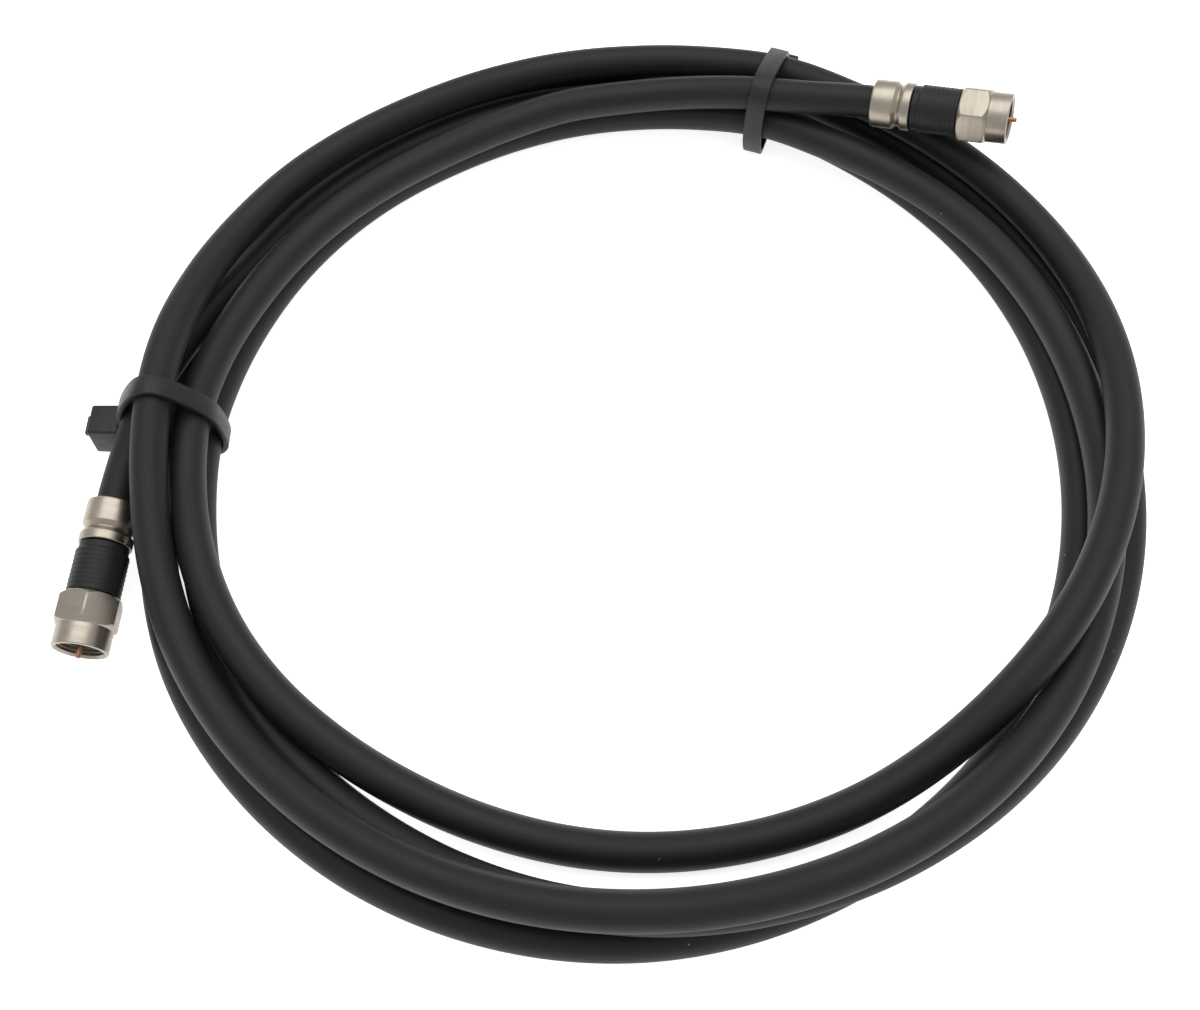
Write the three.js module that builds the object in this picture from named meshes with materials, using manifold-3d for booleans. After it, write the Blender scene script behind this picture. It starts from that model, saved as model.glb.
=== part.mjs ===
// A coaxial lead, coiled flat in a little over four loose turns, with a compression connector on each end.
// Two cable ties hold the turns. Millimetres, +Z up. The coil lies on the plane z = 0 round the Z axis.
// Azimuths, headings and tilts are in degrees. Azimuths are counted from +X towards +Y.
import * as THREE from "three";
import { mergeVertices } from "three/addons/utils/BufferGeometryUtils.js";
import Module from "manifold-3d";

const wasm = await Module();
wasm.setup();

// Sizes the whole lead is built from
const cableDiameter = 7.3;
const coilRadius = 95;
const clearance = 0.3;
const strapThickness = 1.15;
const strapWidth = 4.2;
const nutAcrossFlats = 11.11;

const cableRadius = cableDiameter / 2;
const pitch = cableDiameter + clearance;
const restHeight = cableRadius + clearance / 2;
const cableSides = 12;
const cableSteps = 240;

// The coil runs clockwise, seen from above, and has a station every 30 degrees from azimuth 150.
// Each row is one turn. Offsets say how far outside the coil radius a station lies and levels how far
// above the floor, both in pitches of the cable.
const firstAzimuth = 150;
const stationAngle = 30;
const stepsPerStation = 3;
const turnOffsets = [
  [0.07, 0.11, 0.1, -0.24, -0.5, -0.62, -0.39, 0.13, 0.71, 0.92, 0.76],
  [0.25, 1.11, 1.17, 1.16, 1.02, 0.84, 0.66, 0.55, 0.49, 0.34, -0.08, -0.39],
  [-0.78, -0.95, -0.95, -0.83, -0.92, -0.66, -0.36, 0.03, 0.39, 0.5, 0.49, 0.42],
  [0.11, 0.26, 0.42, 0.68, 0.89, 0.87, 0.11, -0.58, -1.11, -1.34, -1.18, -0.79],
  [-0.79, -1.14, -1.39, -1.08],
];
const turnLevels = [
  [0.13, 0, 0, 0, 0, 0, 0, 0, 0, 0, 0],
  [0, 0, 0, 0, 0, 0, 0, 0.43, 1.04, 0.97, 0.41, 0],
  [0, 0, 0, 0.32, 0.8, 1.03, 1.05, 1.37, 2.05, 1.99, 1.33, 1.08],
  [1.82, 1.53, 1.05, 1.01, 1.04, 1.08, 2, 2.11, 0.5, 0, 0.53, 1.03],
  [1.03, 1, 1, 1.33],
];
// Where the fourth turn rides over others for a short way: azimuth, levels it gains and half its width.
const humps = [
  { turn: 3, azimuth: 320, levels: 0.25, halfWidth: 20 },
  { turn: 3, azimuth: 168, levels: 0.24, halfWidth: 18 },
];
// The ways from the connectors into the coil and out of it: azimuth, offset and level.
const leadIn = [
  [184.2, 0.95, 0.8], [179.8, 0.68, 0.99], [174.8, 0.49, 1.08], [169.9, 0.33, 1.04],
  [164.7, 0.17, 0.9], [159.6, 0.08, 0.6],
];
const leadOut = [
  [82.1, -1.02, 1.5], [74.7, -0.95, 1.63], [69.6, -0.78, 1.68], [65.2, -0.52, 1.74],
  [60.7, -0.15, 1.84],
];
// Where each connector starts, the way its mouth points and how far the nut is turned on its axis.
const connectors = {
  a: { station: [189.7, 1.28, 0.78], heading: 264.5, tilt: -5.5, roll: 48 },
  b: { station: [56.1, 0.17, 2.02], heading: -20.1, tilt: 10.6, roll: 49 },
};

// The ties. Both straps pass under the whole bundle, which they lift a little.
const ties = {
  left: { azimuth: 179, headLevel: 0.45, seat: { offset: 0.76, level: 0.45 }, stubLength: 1.2 },
  top: { azimuth: 71, headLevel: 0.03, stubLength: 0.5 },
};
const strapLift = strapThickness + clearance;
const liftHalfWidth = 16;
const tieHead = { depth: 5, width: 6.8, height: 7.8 };

// A connector along its own axis, from the cable side. Radii follow from the cable and the nut.
const boreRadius = cableRadius + clearance;
const ringRadius = boreRadius + 1.2;
const ringLength = 8.7;
const groove = { start: 4.8, end: 6.9, depth: 0.7 };
const sleeve = { start: ringLength + clearance, ribsStart: 10.3, end: 19, ribCount: 6, ribDepth: 0.2 };
const jacketEnd = 10.5;
const bodyStart = jacketEnd + clearance;
const nut = { start: sleeve.end + clearance, hexEnd: 25.6, end: 30, wall: 1.8 };
const collarRadius = nutAcrossFlats / 2 - 0.2;
const threadRadius = nutAcrossFlats / 2 - 1.15;
const mouthChamfer = 0.2;
const bodyFlange = { start: nut.start + nut.wall + clearance, length: 1.5 };
const dielectricRadius = 2.3;
const conductorRadius = 0.51;
const conductorEnd = nut.end + 1.4;
const turnedSegments = 36;

const radians = THREE.MathUtils.degToRad;

// A length between two stations, from those two and the ones beside them.
function between(before, from, to, after, t) {
  return 0.5 * (2 * from + (to - before) * t + (2 * before - 5 * from + 4 * to - after) * t ** 2
    + (3 * from - before - 3 * to + after) * t ** 3);
}

function along(values, index, t) {
  const at = (i) => values[Math.min(Math.max(i, 0), values.length - 1)];
  return between(at(index - 1), at(index), at(index + 1), at(index + 2), t);
}

// A bump of height 1 at an azimuth, falling to 0 at the half width.
function bump(azimuth, centre, halfWidth) {
  const turned = ((azimuth - centre) % 360 + 540) % 360 - 180;
  return Math.abs(turned) < halfWidth ? 0.5 + 0.5 * Math.cos(Math.PI * turned / halfWidth) : 0;
}

function place(azimuth, offset, level) {
  const radius = coilRadius + offset * pitch;
  let height = restHeight + Math.max(level, 0) * pitch;
  for (const tie of Object.values(ties)) height += strapLift * bump(azimuth, tie.azimuth, liftHalfWidth);
  return new THREE.Vector3(radius * Math.cos(radians(azimuth)), radius * Math.sin(radians(azimuth)), height);
}

function coilPoints() {
  const offsets = turnOffsets.flat();
  const levels = turnLevels.flat();
  const stationsPerTurn = 360 / stationAngle;
  const points = [];
  for (let k = 0; k <= (offsets.length - 1) * stepsPerStation; k++) {
    const index = Math.floor(k / stepsPerStation);
    const t = (k % stepsPerStation) / stepsPerStation;
    const azimuth = firstAzimuth - stationAngle * (index + t);
    let level = along(levels, index, t);
    for (const hump of humps)
      if (Math.floor((index + t + 1) / stationsPerTurn) === hump.turn)
        level += hump.levels * bump(azimuth, hump.azimuth, hump.halfWidth);
    points.push(place(azimuth, along(offsets, index, t), level));
  }
  return points;
}

// A connector's start on the cable and the direction from there to its mouth.
function frameOf({ station, heading, tilt }) {
  const start = place(...station);
  const direction = new THREE.Vector3(
    Math.cos(radians(tilt)) * Math.cos(radians(heading)),
    Math.cos(radians(tilt)) * Math.sin(radians(heading)),
    Math.sin(radians(tilt)),
  );
  return { start, direction };
}

// The cable's centre line, from inside one connector to inside the other.
function centreLine() {
  const straight = [jacketEnd, 4, -3];
  const end = (connector) => {
    const { start, direction } = frameOf(connector);
    return straight.map((distance) => start.clone().addScaledVector(direction, distance));
  };
  return [
    ...end(connectors.a),
    ...leadIn.map((station) => place(...station)),
    ...coilPoints(),
    ...leadOut.map((station) => place(...station)),
    ...end(connectors.b).reverse(),
  ];
}

function solidOf(geometry) {
  const bare = geometry.index ? geometry.toNonIndexed() : geometry.clone();
  bare.deleteAttribute("normal");
  bare.deleteAttribute("uv");
  const merged = mergeVertices(bare, 1e-4);
  return new wasm.Manifold(new wasm.Mesh({
    numProp: 3,
    vertProperties: merged.attributes.position.array,
    triVerts: new Uint32Array(merged.index.array),
  }));
}

function geometryOf(solid) {
  const mesh = solid.getMesh();
  const geometry = new THREE.BufferGeometry();
  geometry.setAttribute("position", new THREE.BufferAttribute(new Float32Array(mesh.vertProperties), 3));
  geometry.setIndex(new THREE.BufferAttribute(new Uint32Array(mesh.triVerts), 1));
  geometry.computeVertexNormals();
  return geometry;
}

// A closed outline of [radius, height] corners, turned round the Z axis.
function turned(outline, segments = turnedSegments) {
  const corners = [...outline, outline[0]];
  let area = 0;
  for (let i = 0; i < outline.length; i++)
    area += corners[i][0] * corners[i + 1][1] - corners[i + 1][0] * corners[i][1];
  if (area < 0) corners.reverse();
  const profile = corners.map(([radius, height]) => new THREE.Vector2(radius, height));
  return new THREE.LatheGeometry(profile, segments).rotateX(Math.PI / 2);
}

function rod(radius, from, to, segments = turnedSegments) {
  return new THREE.CylinderGeometry(radius, radius, to - from, segments)
    .rotateX(Math.PI / 2)
    .translate(0, 0, (from + to) / 2);
}

const root = new THREE.Group();
root.name = "coaxial_lead_coil";

function add(name, geometry, colour, metalness, roughness) {
  const mesh = new THREE.Mesh(geometry, new THREE.MeshStandardMaterial({ color: colour, metalness, roughness }));
  mesh.name = name;
  root.add(mesh);
}

const line = new THREE.CatmullRomCurve3(centreLine(), false, "catmullrom", 0.5);
line.arcLengthDivisions = cableSteps * 8;

function cable() {
  const section = new THREE.Shape();
  section.absarc(0, 0, cableRadius, 0, 2 * Math.PI);
  return new THREE.ExtrudeGeometry(section, {
    steps: cableSteps,
    curveSegments: cableSides / 2,
    bevelEnabled: false,
    extrudePath: line,
  });
}

function compressionRing() {
  const chamfer = 0.35;
  const middle = (groove.start + groove.end) / 2;
  return turned([
    [boreRadius, 0], [ringRadius - chamfer, 0], [ringRadius, chamfer],
    [ringRadius, groove.start], [ringRadius - groove.depth, middle], [ringRadius, groove.end],
    [ringRadius, ringLength - chamfer], [ringRadius - chamfer, ringLength], [boreRadius, ringLength],
  ]);
}

function sealSleeve() {
  const neckRadius = ringRadius - 0.45;
  const ribPitch = (sleeve.end - sleeve.ribsStart) / sleeve.ribCount;
  const outline = [[boreRadius, sleeve.start], [neckRadius, sleeve.start], [neckRadius, sleeve.ribsStart]];
  for (let rib = 0; rib < sleeve.ribCount; rib++) {
    const from = sleeve.ribsStart + rib * ribPitch;
    outline.push([ringRadius - sleeve.ribDepth, from + 0.02], [ringRadius, from + ribPitch * 0.3],
      [ringRadius, from + ribPitch * 0.7], [ringRadius - sleeve.ribDepth, from + ribPitch - 0.02]);
  }
  outline.push([boreRadius, sleeve.end]);
  return turned(outline);
}

function connectorBody() {
  const flangeEnd = bodyFlange.start + bodyFlange.length;
  const flangeRadius = threadRadius - clearance;
  const bore = dielectricRadius + clearance;
  return turned([
    [bore, bodyStart], [cableRadius, bodyStart], [cableRadius, bodyFlange.start],
    [flangeRadius, bodyFlange.start], [flangeRadius, flangeEnd], [bore, flangeEnd],
  ]);
}

function couplingNut() {
  const hexLength = nut.hexEnd - nut.start;
  const cornerRadius = nutAcrossFlats / 2 / Math.cos(Math.PI / 6);
  const faceRadius = nutAcrossFlats / 2 - 0.1;
  const chamferRise = cornerRadius - faceRadius;
  const middle = nut.start + hexLength / 2;
  const hexagon = solidOf(rod(cornerRadius, nut.start, nut.hexEnd, 6));
  const envelope = solidOf(turned([
    [0.5, nut.start], [faceRadius, nut.start], [cornerRadius + 0.01, nut.start + chamferRise],
    [cornerRadius + 0.01, middle], [cornerRadius + 0.01, nut.hexEnd - chamferRise],
    [faceRadius, nut.hexEnd], [0.5, nut.hexEnd],
  ]));
  const collar = solidOf(turned([
    [0.5, nut.hexEnd - 1], [collarRadius, nut.hexEnd - 1], [collarRadius, nut.end - mouthChamfer],
    [collarRadius - mouthChamfer, nut.end], [0.5, nut.end],
  ]));
  const inside = solidOf(turned([
    [0.1, nut.start - 1], [boreRadius, nut.start - 1], [boreRadius, nut.start + nut.wall],
    [threadRadius, nut.start + nut.wall], [threadRadius, nut.end - mouthChamfer],
    [threadRadius + mouthChamfer + 0.1, nut.end + 0.1], [0.1, nut.end + 0.1],
  ]));
  const core = solidOf(rod(1, nut.start - 2, nut.end + 2, 12));
  return geometryOf(hexagon.intersect(envelope).add(collar).subtract(inside).subtract(core));
}

function connector(name, placement) {
  const { start, direction } = frameOf(placement);
  const side = new THREE.Vector3(-direction.y, direction.x, 0).normalize();
  const up = new THREE.Vector3().crossVectors(direction, side);
  const toLead = new THREE.Matrix4().makeBasis(side, up, direction).setPosition(start);
  const rolled = new THREE.Matrix4().makeRotationZ(radians(placement.roll));
  const put = (geometry) => geometry.applyMatrix4(toLead);
  const flangeEnd = bodyFlange.start + bodyFlange.length;
  add("compression_ring_" + name, put(compressionRing()), 0xb9b0a0, 0.9, 0.35);
  add("seal_sleeve_" + name, put(sealSleeve()), 0x141414, 0, 0.6);
  add("connector_body_" + name, put(connectorBody()), 0xb9b0a0, 0.9, 0.35);
  add("coupling_nut_" + name, put(couplingNut().applyMatrix4(rolled)), 0xb9b0a0, 0.9, 0.3);
  add("dielectric_" + name, put(turned([
    [conductorRadius + clearance, bodyStart], [dielectricRadius, bodyStart],
    [dielectricRadius, flangeEnd], [conductorRadius + clearance, flangeEnd],
  ], 24)), 0xe9e6de, 0, 0.7);
  add("centre_conductor_" + name, put(rod(conductorRadius, bodyStart, conductorEnd, 16)), 0xb5683c, 0.9, 0.35);
}

// The places where the cable passes a tie, as distance from the Z axis and height.
function bundle({ azimuth }) {
  const out = new THREE.Vector3(Math.cos(radians(azimuth)), Math.sin(radians(azimuth)), 0);
  const tangent = new THREE.Vector3(-out.y, out.x, 0);
  const samples = cableSteps * 12;
  return line.getSpacedPoints(samples)
    .filter((point) => point.dot(out) > 0 && Math.abs(point.dot(tangent)) < strapWidth / 2 + clearance)
    .map((point) => [point.dot(out), point.z]);
}

// The outline at a distance outside the cable, round all the centres.
function wrap(centres, distance) {
  const corners = 72;
  return Array.from({ length: corners }, (_, k) => {
    const x = Math.cos(2 * Math.PI * k / corners);
    const y = Math.sin(2 * Math.PI * k / corners);
    const reach = centres.map(([r, z]) => r * x + z * y);
    const [r, z] = centres[reach.indexOf(Math.max(...reach))];
    return new THREE.Vector2(r + x * distance, z + y * distance);
  });
}

function cableTie(tie) {
  const seat = tie.seat ? [[coilRadius + tie.seat.offset * pitch, restHeight + tie.seat.level * pitch]] : [];
  const centres = [...bundle(tie), ...seat];
  const inner = wrap(centres, cableRadius + clearance);
  const outer = wrap(centres, cableRadius + clearance + strapThickness);
  const shape = new THREE.Shape(outer);
  shape.holes.push(new THREE.Path(inner));
  const strap = new THREE.ExtrudeGeometry(shape, { depth: strapWidth, bevelEnabled: false })
    .translate(0, 0, -strapWidth / 2);
  const headHeight = restHeight + tie.headLevel * pitch;
  const face = Math.max(...outer.map(({ x }) => x)) - strapThickness / 2;
  const depth = tieHead.depth + strapThickness / 2;
  const head = new THREE.BoxGeometry(depth, tieHead.height, tieHead.width)
    .translate(face + depth / 2, headHeight, 0);
  const stub = new THREE.BoxGeometry(tie.stubLength + 1, strapThickness, strapWidth)
    .translate(face + depth + (tie.stubLength - 1) / 2, headHeight + 1, 0);
  const joined = solidOf(strap).add(solidOf(head)).add(solidOf(stub));
  return geometryOf(joined).rotateX(Math.PI / 2).rotateZ(radians(tie.azimuth));
}

add("coax_cable", cable(), 0x1b1b1d, 0, 0.55);
connector("a", connectors.a);
connector("b", connectors.b);
add("cable_tie_left", cableTie(ties.left), 0x202022, 0, 0.5);
add("cable_tie_top", cableTie(ties.top), 0x202022, 0, 0.5);

// The whole lead stands on the floor with the middle of its box over the origin.
const box = new THREE.Box3().setFromObject(root);
const middle = box.getCenter(new THREE.Vector3());
for (const mesh of root.children) mesh.geometry.translate(-middle.x, -middle.y, -box.min.z);

export default root;
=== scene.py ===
# A coaxial lead coiled flat, with a compression connector on each end and two cable ties.
# Sizes are in millimetres and turned to metres where the pieces are made. Azimuths run from +X towards +Y.
import math
import bmesh
import bpy
from mathutils import Matrix, Vector


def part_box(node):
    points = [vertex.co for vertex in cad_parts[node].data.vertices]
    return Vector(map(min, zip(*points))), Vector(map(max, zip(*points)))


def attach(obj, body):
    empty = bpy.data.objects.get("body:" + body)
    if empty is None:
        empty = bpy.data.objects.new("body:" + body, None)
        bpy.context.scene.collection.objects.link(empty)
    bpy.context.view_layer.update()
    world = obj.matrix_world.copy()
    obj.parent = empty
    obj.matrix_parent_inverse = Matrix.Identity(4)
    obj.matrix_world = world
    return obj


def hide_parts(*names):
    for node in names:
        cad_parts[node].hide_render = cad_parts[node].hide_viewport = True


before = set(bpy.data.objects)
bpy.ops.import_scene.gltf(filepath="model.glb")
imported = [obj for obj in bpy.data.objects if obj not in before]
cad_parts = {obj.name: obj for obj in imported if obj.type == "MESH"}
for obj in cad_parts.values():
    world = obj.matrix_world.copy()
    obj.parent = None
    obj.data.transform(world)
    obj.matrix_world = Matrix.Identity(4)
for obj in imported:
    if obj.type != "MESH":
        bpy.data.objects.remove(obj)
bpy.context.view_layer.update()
milli = 0.001

# The cable's route.
cableSizes = {
    "diameter": 7.3,
    "coilRadius": 95.0,
    "clearance": 0.3,
    "firstAzimuth": 150,
    "stationAngle": 30,
    "stepsPerStation": 3,
    "pointsPerStep": 8,
    "liftHeight": 1.45,
    "liftHalfWidth": 16,
    "straightEnd": (10.5, 4, -3),
    "sideResolution": 10,
}
pitch = cableSizes["diameter"] + cableSizes["clearance"]
cableRadius = cableSizes["diameter"] / 2
restHeight = cableRadius + cableSizes["clearance"] / 2

# One row for each turn: how far outside the coil radius and above the floor, in pitches of the cable.
turnOffsets = [
    [0.07, 0.11, 0.1, -0.24, -0.5, -0.62, -0.39, 0.13, 0.71, 0.92, 0.76],
    [0.25, 1.11, 1.17, 1.16, 1.02, 0.84, 0.66, 0.55, 0.49, 0.34, -0.08, -0.39],
    [-0.78, -0.95, -0.95, -0.83, -0.92, -0.66, -0.36, 0.03, 0.39, 0.5, 0.49, 0.42],
    [0.11, 0.26, 0.42, 0.68, 0.89, 0.87, 0.11, -0.58, -1.11, -1.34, -1.18, -0.7],
    [-0.71, -1.13, -1.39, -1.08],
]
turnLevels = [
    [0.13, 0, 0, 0, 0, 0, 0, 0, 0, 0, 0],
    [0, 0, 0, 0, 0, 0, 0, 0.43, 1.04, 0.97, 0.41, 0],
    [0, 0, 0, 0.32, 0.8, 1.03, 1.05, 1.37, 2.05, 1.99, 1.33, 1.08],
    [1.82, 1.53, 1.05, 1.01, 1.04, 1.08, 2, 2.11, 0.5, 0, 0.56, 1.06],
    [1.03, 1, 1, 1.33],
]
humps = [(3, 320, 0.25, 20), (3, 168, 0.24, 18)]  # turn, azimuth, levels gained, half the width
leadIn = [
    (184.2, 0.95, 0.8), (179.8, 0.68, 0.99), (174.8, 0.49, 1.08), (169.9, 0.33, 1.04),
    (164.7, 0.17, 0.9), (159.6, 0.08, 0.6),
]
leadOut = [
    (82.1, -1.02, 1.5), (74.7, -0.95, 1.63), (69.6, -0.78, 1.68), (65.2, -0.52, 1.74), (60.7, -0.15, 1.84),
]
connectorPlaces = {
    "a": {"station": (189.7, 1.28, 0.78), "heading": 264.5, "tilt": -5.5, "roll": 48},
    "b": {"station": (56.1, 0.17, 2.02), "heading": -20.1, "tilt": 10.6, "roll": 49},
}
tiePlaces = {
    "left": {"azimuth": 179, "headLevel": 0.45, "seat": (0.71, 0.45), "headDepth": 5.9, "stubLength": 1.2},
    "top": {"azimuth": 71, "headLevel": 0.03, "seat": (-0.66, 0.1), "headDepth": 5.0, "stubLength": 0.5},
}


def between(before, start, end, after, t):
    # A point or length between two stations, from those two and the ones beside them.
    return 0.5 * (2 * start + (end - before) * t + (2 * before - 5 * start + 4 * end - after) * t ** 2
                  + (3 * start - before - 3 * end + after) * t ** 3)


def along(values, index, t):
    def at(i):
        return values[min(max(i, 0), len(values) - 1)]
    return between(at(index - 1), at(index), at(index + 1), at(index + 2), t)


def bump(azimuth, centre, halfWidth):
    turned = (azimuth - centre + 180) % 360 - 180
    return 0.5 + 0.5 * math.cos(math.pi * turned / halfWidth) if abs(turned) < halfWidth else 0


def placeOf(azimuth, offset, level):
    radius = cableSizes["coilRadius"] + offset * pitch
    lift = sum(bump(azimuth, tie["azimuth"], cableSizes["liftHalfWidth"]) for tie in tiePlaces.values())
    height = restHeight + max(level, 0) * pitch + cableSizes["liftHeight"] * lift
    turn = math.radians(azimuth)
    return Vector((radius * math.cos(turn), radius * math.sin(turn), height))


def coilPoints():
    offsets = sum(turnOffsets, [])
    levels = sum(turnLevels, [])
    steps = cableSizes["stepsPerStation"]
    points = []
    for k in range((len(offsets) - 1) * steps + 1):
        index, t = k // steps, (k % steps) / steps
        azimuth = cableSizes["firstAzimuth"] - cableSizes["stationAngle"] * (index + t)
        level = along(levels, index, t)
        for turn, centre, gain, halfWidth in humps:
            if int((index + t + 1) // (360 / cableSizes["stationAngle"])) == turn:
                level += gain * bump(azimuth, centre, halfWidth)
        points.append(placeOf(azimuth, along(offsets, index, t), level))
    return points


def connectorFrame(place):
    heading, tilt = math.radians(place["heading"]), math.radians(place["tilt"])
    level = math.cos(tilt)
    direction = Vector((level * math.cos(heading), level * math.sin(heading), math.sin(tilt)))
    return placeOf(*place["station"]), direction


def connectorEnd(place):
    start, direction = connectorFrame(place)
    return [start + direction * distance for distance in cableSizes["straightEnd"]]


def routeControls():
    return (connectorEnd(connectorPlaces["a"]) + [placeOf(*station) for station in leadIn] + coilPoints()
            + [placeOf(*station) for station in leadOut] + connectorEnd(connectorPlaces["b"])[::-1])


def routeLine():
    controls = routeControls()
    controls = [controls[0] * 2 - controls[1]] + controls + [controls[-1] * 2 - controls[-2]]
    count = cableSizes["pointsPerStep"]
    line = [between(*controls[i:i + 4], k / count) for i in range(len(controls) - 3) for k in range(count)]
    return line + [controls[-2]]


# The part's source centres the lead on its box, so the same shift is read off a node's place.
pinSpan = (10.8, 31.4)
startA, directionA = connectorFrame(connectorPlaces["a"])
lowPin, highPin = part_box("centre_conductor_a")
shift = (lowPin + highPin) / 2 / milli - (startA + directionA * sum(pinSpan) / 2)
line = [point + shift for point in routeLine()]
print("route made,", len(line), "points, shift", [round(v, 3) for v in shift])

# Camera.
cameraView = {
    "target": (-7.6, -12.0, 0.0), "distance": 300.0, "elevation": 61.5,
    "lens": 43.89, "sensorWidth": 36, "clipStart": 0.01,
}


def makeCamera():
    tilt = math.radians(cameraView["elevation"])
    target = Vector(cameraView["target"]) + shift
    position = target + Vector((0, -math.cos(tilt), math.sin(tilt))) * cameraView["distance"]
    camera = bpy.data.objects.new("camera", bpy.data.cameras.new("camera"))
    camera.data.lens = cameraView["lens"]
    camera.data.sensor_width = cameraView["sensorWidth"]
    camera.data.clip_start = cameraView["clipStart"]
    camera.location = position * milli
    camera.rotation_euler = (math.pi / 2 - tilt, 0, 0)
    bpy.context.scene.collection.objects.link(camera)
    bpy.context.scene.camera = camera


makeCamera()

# Materials.


def newMaterial(name, **values):
    material = bpy.data.materials.new(name)
    material.use_nodes = True
    shader = material.node_tree.nodes["Principled BSDF"]
    for socket, value in values.items():
        shader.inputs[socket.replace("_", " ")].default_value = value
    return material, material.node_tree, shader


def addNode(tree, kind, settings=None, **inputs):
    node = tree.nodes.new(kind)
    for name, value in (settings or {}).items():
        setattr(node, name, value)
    for name, value in inputs.items():
        socket = node.inputs[name.replace("_", " ")]
        if isinstance(value, bpy.types.NodeSocket):
            tree.links.new(value, socket)
        else:
            socket.default_value = value
    return node


def mixOf(tree, factor, low, high):
    ramp = addNode(tree, "ShaderNodeValToRGB", Fac=factor)
    ramp.color_ramp.elements[0].color = (*low, 1)
    ramp.color_ramp.elements[1].color = (*high, 1)
    return ramp


def spread(tree, factor, low, high, fromLow=0.3, fromHigh=0.7):
    node = addNode(tree, "ShaderNodeMapRange", Value=factor)
    for name, value in (("From Min", fromLow), ("From Max", fromHigh), ("To Min", low), ("To Max", high)):
        node.inputs[name].default_value = value
    return node.outputs["Result"]


def objectCoordinates(tree, place=None):
    coordinates = addNode(tree, "ShaderNodeTexCoord").outputs["Object"]
    if place is None:
        return coordinates
    matrix = connectorMatrix(place)
    mapping = addNode(tree, "ShaderNodeMapping", {"vector_type": "TEXTURE"}, Vector=coordinates)
    mapping.inputs["Location"].default_value = matrix.to_translation()
    mapping.inputs["Rotation"].default_value = matrix.to_euler()
    return mapping.outputs["Vector"]


def connectorMatrix(place):
    # Its Z axis runs from the cable to the mouth.
    start, direction = connectorFrame(place)
    side = Vector((-direction.y, direction.x, 0)).normalized()
    turn = Matrix((side, direction.cross(side), direction)).transposed().to_4x4()
    return Matrix.Translation((start + shift) * milli) @ turn


jacketFinish = {
    "dark": (0.0085, 0.0085, 0.0093),
    "light": (0.0135, 0.0133, 0.0143),
    "specular": 0.22,
    "dust": (0.16, 0.16, 0.15),
    "dustScale": 420,
    "dustRadius": (0.05, 0.09),
    "dustChoice": (0.96, 0.97),
    "roughness": (0.44, 0.58),
    "patchScale": 26,
    "grainScale": 2600,
    "grainStrength": 0.5,
    "grainDepth": 0.00002,
    "streakStretch": (30, 60, 1),
    "streakStrength": 0.6,
    "streakDepth": 0.00003,
}


def jacketMaterial():
    # Dark patches, a few specks of dust, fine grain and faint streaks along the cable.
    finish = jacketFinish
    material, tree, shader = newMaterial("jacketBlack", Specular_IOR_Level=finish["specular"])
    uv = addNode(tree, "ShaderNodeTexCoord").outputs["UV"]
    place = objectCoordinates(tree)
    patches = addNode(tree, "ShaderNodeTexNoise", Vector=place, Scale=finish["patchScale"], Detail=4.0)
    grain = addNode(tree, "ShaderNodeTexNoise", Vector=place, Scale=finish["grainScale"], Detail=2.0)
    stretch = addNode(tree, "ShaderNodeMapping", Vector=uv)
    stretch.inputs["Scale"].default_value = finish["streakStretch"]
    streaks = addNode(tree, "ShaderNodeTexNoise", Vector=stretch.outputs["Vector"], Scale=1.0, Detail=3.0)
    tones = mixOf(tree, patches.outputs["Fac"], finish["dark"], finish["light"]).outputs["Color"]
    cells = addNode(tree, "ShaderNodeTexVoronoi", Vector=place, Scale=finish["dustScale"])
    middle = spread(tree, cells.outputs["Distance"], 1, 0, *finish["dustRadius"])
    split = addNode(tree, "ShaderNodeSeparateColor", Color=cells.outputs["Color"])
    chosen = spread(tree, split.outputs["Red"], 0, 1, *finish["dustChoice"])
    speck = addNode(tree, "ShaderNodeMath", {"operation": "MULTIPLY"})
    tree.links.new(middle, speck.inputs[0])
    tree.links.new(chosen, speck.inputs[1])
    dusted = addNode(tree, "ShaderNodeMixRGB", Fac=speck.outputs["Value"], Color1=tones,
                     Color2=(*finish["dust"], 1))
    tree.links.new(dusted.outputs["Color"], shader.inputs["Base Color"])
    tree.links.new(spread(tree, patches.outputs["Fac"], *finish["roughness"]), shader.inputs["Roughness"])
    fine = addNode(tree, "ShaderNodeBump", Height=grain.outputs["Fac"],
                   Strength=finish["grainStrength"], Distance=finish["grainDepth"])
    long = addNode(tree, "ShaderNodeBump", Height=streaks.outputs["Fac"],
                   Strength=finish["streakStrength"], Distance=finish["streakDepth"],
                   Normal=fine.outputs["Normal"])
    tree.links.new(long.outputs["Normal"], shader.inputs["Normal"])
    return material


nickelFinish = {
    "dark": (0.28, 0.246, 0.2),
    "light": (0.39, 0.352, 0.298),
    "roughness": (0.32, 0.44),
    "cloudScale": 320.0,
    "turningScale": 1900,
    "turningStretch": (0.04, 0.04, 1),
    "turningStrength": 0.5,
    "turningDepth": 0.000012,
}


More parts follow.
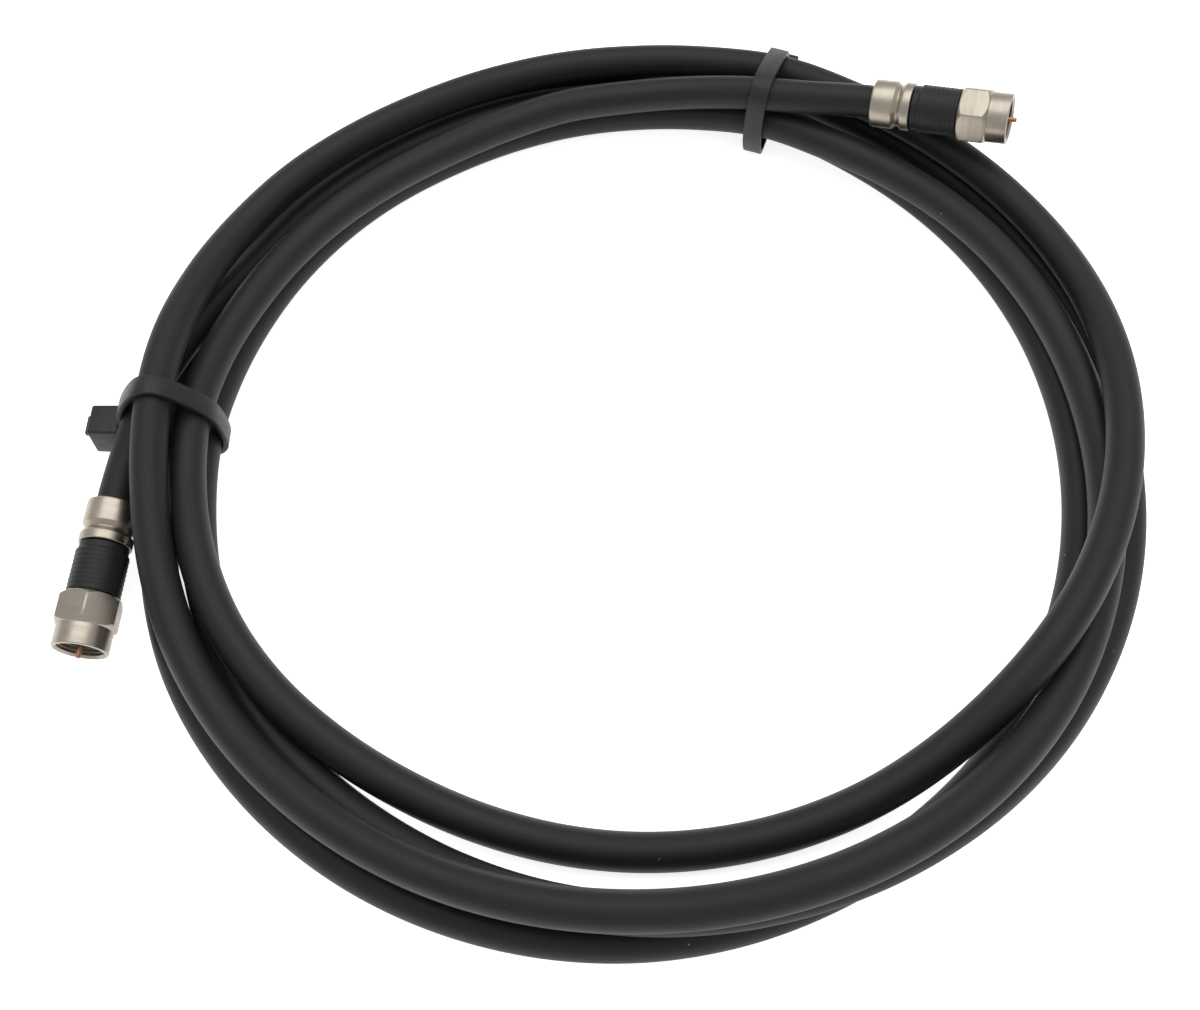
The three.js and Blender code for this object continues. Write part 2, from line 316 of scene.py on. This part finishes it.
def nickelMaterial(name, place):
    # Fine turning marks run round each connector's own axis.
    finish = nickelFinish
    material, tree, shader = newMaterial("nickel_" + name, Metallic=1.0)
    local = objectCoordinates(tree, place)
    clouds = addNode(tree, "ShaderNodeTexNoise", Vector=local, Scale=finish["cloudScale"], Detail=4.0)
    stretch = addNode(tree, "ShaderNodeMapping", Vector=local)
    stretch.inputs["Scale"].default_value = finish["turningStretch"]
    rings = addNode(tree, "ShaderNodeTexNoise", Vector=stretch.outputs["Vector"],
                    Scale=finish["turningScale"], Detail=3.0)
    tones = mixOf(tree, clouds.outputs["Fac"], finish["dark"], finish["light"])
    tree.links.new(tones.outputs["Color"], shader.inputs["Base Color"])
    tree.links.new(spread(tree, rings.outputs["Fac"], *finish["roughness"]), shader.inputs["Roughness"])
    marks = addNode(tree, "ShaderNodeBump", Height=rings.outputs["Fac"],
                    Strength=finish["turningStrength"], Distance=finish["turningDepth"])
    tree.links.new(marks.outputs["Normal"], shader.inputs["Normal"])
    return material


plasticFinishes = {
    "sleeveBlack": {
        "dark": (0.008, 0.008, 0.0085), "light": (0.013, 0.013, 0.0138),
        "roughness": (0.4, 0.6), "grainScale": 2200, "grainDepth": 0.00003,
    },
    "tieBlack": {
        "dark": (0.011, 0.011, 0.0116), "light": (0.018, 0.018, 0.0188),
        "roughness": (0.36, 0.52), "grainScale": 1500, "grainDepth": 0.00003,
    },
    "foamWhite": {
        "dark": (0.66, 0.65, 0.60), "light": (0.80, 0.79, 0.75),
        "roughness": (0.6, 0.8), "grainScale": 3000, "grainDepth": 0.00004,
    },
}
plasticShared = {"specular": 0.25, "patchScale": 180.0, "grainStrength": 0.5}


def plasticMaterial(name, finish):
    material, tree, shader = newMaterial(name, Specular_IOR_Level=plasticShared["specular"])
    place = objectCoordinates(tree)
    patches = addNode(tree, "ShaderNodeTexNoise", Vector=place, Scale=plasticShared["patchScale"], Detail=3.0)
    grain = addNode(tree, "ShaderNodeTexNoise", Vector=place, Scale=finish["grainScale"], Detail=3.0)
    tones = mixOf(tree, patches.outputs["Fac"], finish["dark"], finish["light"])
    tree.links.new(tones.outputs["Color"], shader.inputs["Base Color"])
    tree.links.new(spread(tree, grain.outputs["Fac"], *finish["roughness"]), shader.inputs["Roughness"])
    rough = addNode(tree, "ShaderNodeBump", Height=grain.outputs["Fac"],
                    Strength=plasticShared["grainStrength"], Distance=finish["grainDepth"])
    tree.links.new(rough.outputs["Normal"], shader.inputs["Normal"])
    return material


copperFinish = {
    "dark": (0.26, 0.12, 0.075),
    "light": (0.42, 0.21, 0.135),
    "roughness": (0.2, 0.4),
    "tarnishScale": 700.0,
}


def copperMaterial():
    finish = copperFinish
    material, tree, shader = newMaterial("copper", Metallic=1.0)
    place = objectCoordinates(tree)
    tarnish = addNode(tree, "ShaderNodeTexNoise", Vector=place, Scale=finish["tarnishScale"], Detail=4.0)
    tones = mixOf(tree, tarnish.outputs["Fac"], finish["dark"], finish["light"])
    tree.links.new(tones.outputs["Color"], shader.inputs["Base Color"])
    tree.links.new(spread(tree, tarnish.outputs["Fac"], *finish["roughness"]), shader.inputs["Roughness"])
    return material


jacketBlack = jacketMaterial()
nickel = {name: nickelMaterial(name, place) for name, place in connectorPlaces.items()}
plastic = {name: plasticMaterial(name, finish) for name, finish in plasticFinishes.items()}
copper = copperMaterial()
print("materials made")

# The cable.


def makeCable():
    curve = bpy.data.curves.new("coaxCable", "CURVE")
    curve.dimensions = "3D"
    curve.bevel_depth = cableRadius * milli
    curve.bevel_resolution = cableSizes["sideResolution"]
    curve.use_fill_caps = True
    curve.resolution_u = 1
    spline = curve.splines.new("POLY")
    spline.points.add(len(line) - 1)
    for point, place in zip(spline.points, line):
        point.co = (*(place * milli), 1)
    curve.materials.append(jacketBlack)
    cable = bpy.data.objects.new("coaxCable", curve)
    bpy.context.scene.collection.objects.link(cable)
    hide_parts("coax_cable")
    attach(cable, "lead")
    return cable


cable = makeCable()
cableLength = sum((b - a).length for a, b in zip(line, line[1:])) * milli
print("cable made,", round(cableLength, 3), "m")

# Connectors.
connectorSizes = {
    "boreRadius": 3.95, "ringRadius": 5.15, "ringLength": 8.7,
    "grooveStart": 4.8, "grooveEnd": 6.9, "grooveDepth": 0.8,
    "ringRounding": (0.15, 0.45, 0.18, 0.25, 0.18, 0.25, 0.15),
    "sleeveStart": 9.0, "ribsStart": 10.3, "sleeveEnd": 19.0, "ribCount": 9, "ribDepth": 0.08,
    "pointsPerRib": 6, "ribShare": 0.98, "ribInset": 0.15, "neckDepth": 0.42, "neckInset": 0.1,
    "bodyStart": 10.8, "flangeStart": 21.4, "flangeEnd": 22.9, "flangeRadius": 4.105, "bodyGap": 0.15,
    "bodyRounding": (0, 0, 0, 0.1, 0.2, 0.12),
    "nutStart": 19.3, "hexEnd": 25.6, "nutEnd": 30.0, "nutWall": 1.8,
    "acrossFlats": 11.11, "faceLoss": 0.1, "cornerLoss": 0.08, "flatEdge": 0.07,
    "collarRadius": 5.355, "collarStep": 0.05, "collarEdge": 0.25,
    "threadRadius": 4.405, "threadPitch": 0.794, "threadDepth": 0.32, "threadLead": 1.2, "threadStop": 0.45,
    "threadForm": ((0, 0), (0, 0.12), (1, 0.36), (1, 0.46), (0, 0.7)),
    "coreRadius": 2.3, "coreGap": 0.05, "coreRounding": (0, 0, 0.25, 0.06),
    "pinRadius": 0.51, "pinEnd": 31.4, "pinTip": ((1, 0.35), (0.82, 0.1), (0.5, 0)),
    "segments": 72, "coreSegments": 48, "pinSegments": 28,
}


def finishPiece(bm, name, matrix, material, body, slot, *nodes, smoothAngle=35):
    mesh = bpy.data.meshes.new(name)
    bm.transform(matrix)
    bmesh.ops.recalc_face_normals(bm, faces=bm.faces[:])
    bm.to_mesh(mesh)
    bm.free()
    mesh.materials.append(material)
    mesh.shade_smooth()
    piece = bpy.data.objects.new(name, mesh)
    bpy.context.scene.collection.objects.link(piece)
    mesh.set_sharp_from_angle(angle=math.radians(smoothAngle))
    if nodes:
        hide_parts(*nodes)
    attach(piece, body)
    return piece


def turned(outline, segments=connectorSizes["segments"], closed=True):
    # An outline of radius and height, spun round the Z axis.
    bm = bmesh.new()
    corners = [bm.verts.new((radius * milli, 0, height * milli)) for radius, height in outline]
    following = corners[1:] + corners[:1] if closed else corners[1:]
    edges = [bm.edges.new((a, b)) for a, b in zip(corners, following)]
    bmesh.ops.spin(bm, geom=corners + edges, cent=(0, 0, 0), axis=(0, 0, 1), angle=2 * math.pi,
                   steps=segments, use_merge=True)
    bmesh.ops.remove_doubles(bm, verts=bm.verts[:], dist=1e-7)
    return bm


def roundedCorner(corner, before, after, radius, steps=4):
    # Points that round one corner of an outline.
    corner, before, after = Vector(corner), Vector(before), Vector(after)
    start = corner + (before - corner).normalized() * radius
    end = corner + (after - corner).normalized() * radius
    return [tuple(start.lerp(corner, k / steps).lerp(corner.lerp(end, k / steps), k / steps))
            for k in range(steps + 1)]


def roundedOutline(outline, radii):
    count = len(outline)
    points = []
    for i, radius in enumerate(radii):
        if radius:
            points += roundedCorner(outline[i], outline[i - 1], outline[(i + 1) % count], radius)
        else:
            points.append(outline[i])
    return points


def compressionRing():
    s = connectorSizes
    middle = (s["grooveStart"] + s["grooveEnd"]) / 2
    outline = [
        (s["boreRadius"], 0), (s["ringRadius"], 0), (s["ringRadius"], s["grooveStart"]),
        (s["ringRadius"] - s["grooveDepth"], middle), (s["ringRadius"], s["grooveEnd"]),
        (s["ringRadius"], s["ringLength"]), (s["boreRadius"], s["ringLength"]),
    ]
    return turned(roundedOutline(outline, s["ringRounding"]))


def sealSleeve():
    s = connectorSizes
    neck = s["ringRadius"] - s["neckDepth"]
    ribPitch = (s["sleeveEnd"] - s["ribsStart"]) / s["ribCount"]
    count = s["pointsPerRib"]
    outline = [(s["boreRadius"], s["sleeveStart"]), (neck, s["sleeveStart"]),
               (neck, s["ribsStart"] - s["neckInset"])]
    for k in range(s["ribCount"] * count + 1):
        wave = 0.5 - 0.5 * math.cos(2 * math.pi * k / count)
        outline.append((s["ringRadius"] - s["ribDepth"] * (1 - wave),
                        s["ribsStart"] + s["ribInset"] + k / count * ribPitch * s["ribShare"]))
    outline += [(outline[-1][0] - s["neckInset"], s["sleeveEnd"]), (s["boreRadius"], s["sleeveEnd"])]
    return turned(outline)


def connectorBody():
    s = connectorSizes
    bore = s["coreRadius"] + s["bodyGap"]
    outline = [
        (bore, s["bodyStart"]), (cableRadius, s["bodyStart"]), (cableRadius, s["flangeStart"]),
        (s["flangeRadius"], s["flangeStart"]), (s["flangeRadius"], s["flangeEnd"]), (bore, s["flangeEnd"]),
    ]
    return turned(roundedOutline(outline, s["bodyRounding"]))


def nutBlank():
    # Round, with the corners' radius where the hexagon is cut later, and thread grooves inside.
    s = connectorSizes
    flat = s["acrossFlats"] / 2
    corner = flat / math.cos(math.pi / 6) - s["cornerLoss"]
    faceRadius = flat - s["faceLoss"]
    rise = corner - faceRadius
    innerFace = s["nutStart"] + s["nutWall"]
    threadStart, threadEnd = innerFace + s["threadLead"], s["nutEnd"] - s["threadStop"]
    outline = [
        (s["boreRadius"], s["nutStart"]), (faceRadius, s["nutStart"]), (corner, s["nutStart"] + rise),
        (corner, s["hexEnd"] - rise), (faceRadius, s["hexEnd"]),
        (s["collarRadius"], s["hexEnd"] + s["collarStep"]),
    ]
    outline += roundedCorner((s["collarRadius"], s["nutEnd"]), (s["collarRadius"], s["hexEnd"]),
                             (s["threadRadius"], s["nutEnd"]), s["collarEdge"])
    outline.append((s["threadRadius"] + s["threadDepth"], s["nutEnd"]))
    for k in range(int((threadEnd - threadStart) / s["threadPitch"])):
        top = threadEnd - k * s["threadPitch"]
        for inward, down in s["threadForm"]:
            outline.append((s["threadRadius"] + inward * s["threadDepth"], top - down))
    outline += [(s["threadRadius"], innerFace), (s["boreRadius"], innerFace)]
    return turned(outline)


def couplingNut(roll):
    s = connectorSizes
    bm = nutBlank()
    for k in range(6):
        turn = math.radians(roll) + k * math.pi / 3
        out = Vector((math.cos(turn), math.sin(turn), 0))
        cut = bmesh.ops.bisect_plane(bm, geom=bm.verts[:] + bm.edges[:] + bm.faces[:], dist=1e-8,
                                     plane_co=out * s["acrossFlats"] / 2 * milli, plane_no=out,
                                     clear_outer=True)
        rim = [part for part in cut["geom_cut"] if isinstance(part, bmesh.types.BMEdge)]
        flat = bmesh.ops.edgeloop_fill(bm, edges=rim)["faces"]
        bmesh.ops.bevel(bm, geom=[edge for face in flat for edge in face.edges], offset=s["flatEdge"] * milli,
                        segments=2, profile=0.5, affect="EDGES", material=-1)
    return bm


def dielectricCore():
    s = connectorSizes
    bore = s["pinRadius"] + s["coreGap"]
    outline = [(bore, s["bodyStart"]), (s["coreRadius"], s["bodyStart"]),
               (s["coreRadius"], s["flangeEnd"]), (bore, s["flangeEnd"])]
    return turned(roundedOutline(outline, s["coreRounding"]), s["coreSegments"])


def centreConductor():
    s = connectorSizes
    outline = [(0.0, s["bodyStart"]), (s["pinRadius"], s["bodyStart"])]
    outline += [(s["pinRadius"] * share, s["pinEnd"] - back) for share, back in s["pinTip"]]
    outline.append((0.0, s["pinEnd"]))
    return turned(outline, s["pinSegments"], closed=False)


def makeConnector(name, place):
    matrix = connectorMatrix(place)
    pieces = [
        finishPiece(compressionRing(), "compressionRing_" + name, matrix, nickel[name], "lead", "nickel",
                    "compression_ring_" + name),
        finishPiece(sealSleeve(), "sealSleeve_" + name, matrix, plastic["sleeveBlack"], "lead", "sleeve",
                    "seal_sleeve_" + name, smoothAngle=50),
        finishPiece(connectorBody(), "connectorBody_" + name, matrix, nickel[name], "lead", "nickel",
                    "connector_body_" + name),
        finishPiece(dielectricCore(), "dielectricCore_" + name, matrix, plastic["foamWhite"], "lead",
                    "insulation", "dielectric_" + name),
        finishPiece(centreConductor(), "centreConductor_" + name, matrix, copper, "lead", "copper",
                    "centre_conductor_" + name),
        finishPiece(couplingNut(place["roll"]), "couplingNut_" + name, matrix, nickel[name],
                    "nut_" + name, "nickel", "coupling_nut_" + name),
    ]
    print("connector", name, "made")
    return pieces


connectorPieces = {name: makeConnector(name, place) for name, place in connectorPlaces.items()}

# The two ties.
tieSizes = {
    "strapWidth": 4.2, "strapThickness": 1.15, "strapEdge": 0.22, "strapGap": 0.1,
    "outlineCorners": 120, "tension": 1.8,
    "headWidth": 6.8, "headHeight": 7.8, "headEdge": 0.55, "headFlare": 1.04,
    "rimWidth": 0.55, "slotWall": 0.25, "slotDepth": 0.7, "slotLeast": 4.0,
    "stubInset": 1, "stubRise": 1, "stubEdge": 0.16, "sharpAngle": 60,
}


def bundleCentres(azimuth):
    # Where each strand passes the tie, as distance from the Z axis and height.
    turn = math.radians(azimuth)
    out = Vector((math.cos(turn), math.sin(turn), 0))
    tangent = Vector((-math.sin(turn), math.cos(turn), 0))
    reach = tieSizes["strapWidth"] / 2 + cableSizes["clearance"]
    strands = []
    last = None
    for index, point in enumerate(line):
        local = point - shift
        if local.dot(out) > 0 and abs(local.dot(tangent)) < reach:
            if index - 1 != last:
                strands.append([])
            strands[-1].append((local.dot(out), local.z))
            last = index
    return [tuple(sum(values) / len(strand) for values in zip(*strand)) for strand in strands]


def wrapOutline(centres, distance, floorGap):
    # Smooth and always outside the strands: the strands that face a direction share in its reach.
    count, tension = tieSizes["outlineCorners"], tieSizes["tension"]
    outline = []
    for k in range(count):
        x, y = math.cos(2 * math.pi * k / count), math.sin(2 * math.pi * k / count)
        reaches = [r * x + z * y for r, z in centres]
        top = max(reaches)
        weights = [math.exp(tension * (reach - top)) for reach in reaches]
        total = sum(weights)
        r, z = (sum(w * centre[i] for w, centre in zip(weights, centres)) / total for i in (0, 1))
        bow = top + math.log(total) / tension - (r * x + z * y)
        outline.append((r + x * (distance + bow), max(z + y * (distance + bow), floorGap)))
    return outline


def tieMatrix(azimuth):
    # Local X points out from the coil's middle, Y runs along the strap's width and Z is up.
    return Matrix.Translation(shift * milli) @ Matrix.Rotation(math.radians(azimuth), 4, "Z")


def strapBand(centres):
    t = tieSizes
    gap = cableRadius + t["strapGap"]
    bm = bmesh.new()
    loops = []
    for thickness in (0, t["strapThickness"]):
        floorGap = t["strapThickness"] - thickness - shift.z
        corners = [bm.verts.new((r * milli, -t["strapWidth"] / 2 * milli, z * milli))
                   for r, z in wrapOutline(centres, gap + thickness, floorGap)]
        loops.append([bm.edges.new((a, b)) for a, b in zip(corners, corners[1:] + corners[:1])])
    side = bmesh.ops.bridge_loops(bm, edges=loops[0] + loops[1])["faces"]
    grown = bmesh.ops.extrude_face_region(bm, geom=side, use_keep_orig=True)["geom"]
    moved = [part for part in grown if isinstance(part, bmesh.types.BMVert)]
    bmesh.ops.translate(bm, verts=moved, vec=(0, t["strapWidth"] * milli, 0))
    bmesh.ops.recalc_face_normals(bm, faces=bm.faces[:])
    sharp = [edge for edge in bm.edges if edge.calc_face_angle() > math.radians(t["sharpAngle"])]
    bmesh.ops.bevel(bm, geom=sharp, offset=t["strapEdge"] * milli, segments=2, profile=0.5,
                    affect="EDGES", material=-1)
    return bm


def outerFaces(bm, depth, least=0):
    return [face for face in bm.faces if face.calc_center_median().x > depth * 0.49 * milli
            and face.calc_area() > least * milli ** 2]


def tieHead(tie, face):
    # A rounded block with a slot in its outer side.
    t = tieSizes
    height = restHeight + tie["headLevel"] * pitch
    depth = tie["headDepth"] + t["strapThickness"] / 2
    bm = bmesh.new()
    block = bmesh.ops.create_cube(bm, size=milli)["verts"]
    bmesh.ops.scale(bm, verts=block, vec=(depth, t["headWidth"], t["headHeight"]))
    bmesh.ops.scale(bm, verts=[corner for corner in block if corner.co.x < 0], vec=(1, 1, t["headFlare"]))
    bmesh.ops.bevel(bm, geom=bm.edges[:], offset=t["headEdge"] * milli, segments=4, profile=0.5,
                    affect="EDGES", material=-1)
    bmesh.ops.inset_region(bm, faces=outerFaces(bm, depth), thickness=t["rimWidth"] * milli, depth=0,
                           use_even_offset=True)
    bmesh.ops.inset_region(bm, faces=outerFaces(bm, depth, t["slotLeast"]), thickness=t["slotWall"] * milli,
                           depth=-t["slotDepth"] * milli, use_even_offset=True)
    bmesh.ops.translate(bm, verts=bm.verts[:], vec=((face + depth / 2) * milli, 0, height * milli))
    return bm, height, depth


def tieStub(tie, face, height, depth):
    t = tieSizes
    bm = bmesh.new()
    block = bmesh.ops.create_cube(bm, size=milli)["verts"]
    length = tie["stubLength"] + t["stubInset"]
    middle = face + depth + (tie["stubLength"] - t["stubInset"]) / 2
    bmesh.ops.scale(bm, verts=block, vec=(length, t["strapWidth"], t["strapThickness"]))
    bmesh.ops.bevel(bm, geom=bm.edges[:], offset=t["stubEdge"] * milli, segments=2, profile=0.5,
                    affect="EDGES", material=-1)
    bmesh.ops.translate(bm, verts=bm.verts[:], vec=(middle * milli, 0, (height + t["stubRise"]) * milli))
    return bm


def joined(meshes):
    bm = bmesh.new()
    for part in meshes:
        mesh = bpy.data.meshes.new("part")
        part.to_mesh(mesh)
        part.free()
        bm.from_mesh(mesh)
        bpy.data.meshes.remove(mesh)
    return bm


def makeTie(name, tie):
    offset, level = tie["seat"]
    centres = bundleCentres(tie["azimuth"])
    centres.append((cableSizes["coilRadius"] + offset * pitch, restHeight + level * pitch))
    gap = cableRadius + tieSizes["strapGap"] + tieSizes["strapThickness"]
    face = max(r for r, z in wrapOutline(centres, gap, 0)) - tieSizes["strapThickness"] / 2
    head, height, depth = tieHead(tie, face)
    finishPiece(joined([strapBand(centres), head, tieStub(tie, face, height, depth)]), "cableTie_" + name,
                tieMatrix(tie["azimuth"]), plastic["tieBlack"], "lead", "tie", "cable_tie_" + name)
    print("tie", name, "made")


for name, tie in tiePlaces.items():
    makeTie(name, tie)

# Floor and light.
studio = {
    "floorSize": 3.0, "floorDrop": 0.00005, "floorTone": (0.86, 0.86, 0.86), "toneSpread": 0.01,
    "toneScale": 4.0, "floorRoughness": 0.9, "floorSpecular": 0.1, "floorGlow": 0.8,
    "worldTone": (1.0, 1.0, 1.0), "worldStrength": 0.75,
    "lampPlace": (0.0, 0.25, 0.9), "lampSize": (1.2, 0.9), "lampPower": 6.5,
}


def makeFloor():
    bm = bmesh.new()
    bmesh.ops.create_grid(bm, x_segments=1, y_segments=1, size=studio["floorSize"] / 2)
    mesh = bpy.data.meshes.new("floor")
    bm.to_mesh(mesh)
    bm.free()
    material, tree, shader = newMaterial(
        "floorPale", Roughness=studio["floorRoughness"], Specular_IOR_Level=studio["floorSpecular"],
        Emission_Color=(1, 1, 1, 1), Emission_Strength=studio["floorGlow"])
    noise = addNode(tree, "ShaderNodeTexNoise", Vector=objectCoordinates(tree), Scale=studio["toneScale"])
    darker = tuple(value - studio["toneSpread"] for value in studio["floorTone"])
    tones = mixOf(tree, noise.outputs["Fac"], darker, studio["floorTone"])
    tree.links.new(tones.outputs["Color"], shader.inputs["Base Color"])
    mesh.materials.append(material)
    floor = bpy.data.objects.new("floor", mesh)
    bpy.context.scene.collection.objects.link(floor)
    floor.location.z = -studio["floorDrop"]


def makeLight():
    light = bpy.data.lights.new("overheadSoftbox", "AREA")
    light.shape = "RECTANGLE"
    light.size, light.size_y = studio["lampSize"]
    light.energy = studio["lampPower"]
    lamp = bpy.data.objects.new("overheadSoftbox", light)
    lamp.location = studio["lampPlace"]
    lamp.rotation_euler = (-Vector(studio["lampPlace"])).to_track_quat("-Z", "Y").to_euler()
    bpy.context.scene.collection.objects.link(lamp)


def makeWorld():
    world = bpy.data.worlds.new("studio")
    world.use_nodes = True
    background = world.node_tree.nodes["Background"]
    background.inputs["Color"].default_value = (*studio["worldTone"], 1)
    background.inputs["Strength"].default_value = studio["worldStrength"]
    bpy.context.scene.world = world


makeFloor()
makeWorld()
makeLight()
bpy.context.scene.view_settings.view_transform = "Standard"
print("stage made")
